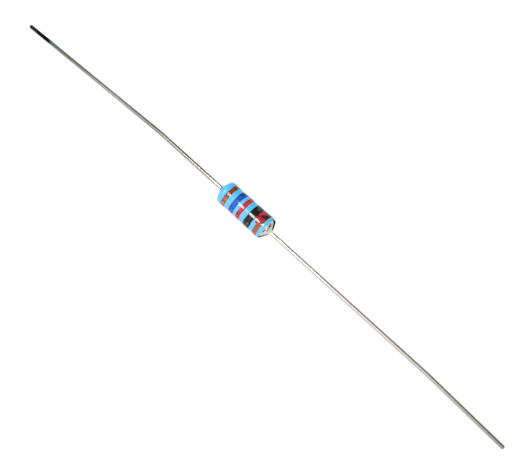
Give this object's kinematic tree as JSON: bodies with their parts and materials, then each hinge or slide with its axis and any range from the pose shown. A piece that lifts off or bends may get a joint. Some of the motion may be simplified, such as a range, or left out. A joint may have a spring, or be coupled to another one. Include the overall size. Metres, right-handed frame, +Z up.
{
  "type": "axial resistor",
  "caption": "Small axial resistor: blue lacquered body with colour bands and a tapered metal end, and two long straight wire leads.",
  "frame": {"origin": "the middle of the body, on its axis; this is also within half a millimetre of the whole part's centroid", "axes": "+X along the body's axis towards the end that the lacquer leaves bare, +Z up from the surface that the part lies on, +Y to the side from which the last band's smear shows"},
  "size_m": [0.0638, 0.0026, 0.0026],
  "materials": {
    "ceramic": "fired, unglazed",
    "metal_film": "sputtered nickel-chromium film",
    "tinned_cap": "pressed and tin plated, bright",
    "tinned_wire": "hot tin dipped, satin bright",
    "blue_lacquer": "dipped and baked, glossy",
    "brown_ink": "roller printed, baked",
    "dark_blue_ink": "roller printed, baked",
    "red_ink": "roller printed, baked",
    "black_ink": "roller printed, baked"
  },
  "bodies": {
    "root": {"ceramic_core": "ceramic", "resistive_film": "metal_film", "end_cap_coated": "tinned_cap", "end_cap_bare": "tinned_cap", "lead_coated": "tinned_wire", "lead_bare": "tinned_wire", "lacquer_coat": "blue_lacquer", "band_1_brown": "brown_ink", "band_2_blue": "dark_blue_ink", "band_3_red": "red_ink", "band_4_black": "black_ink", "band_5_brown": "brown_ink"}
  },
  "joints": []
}
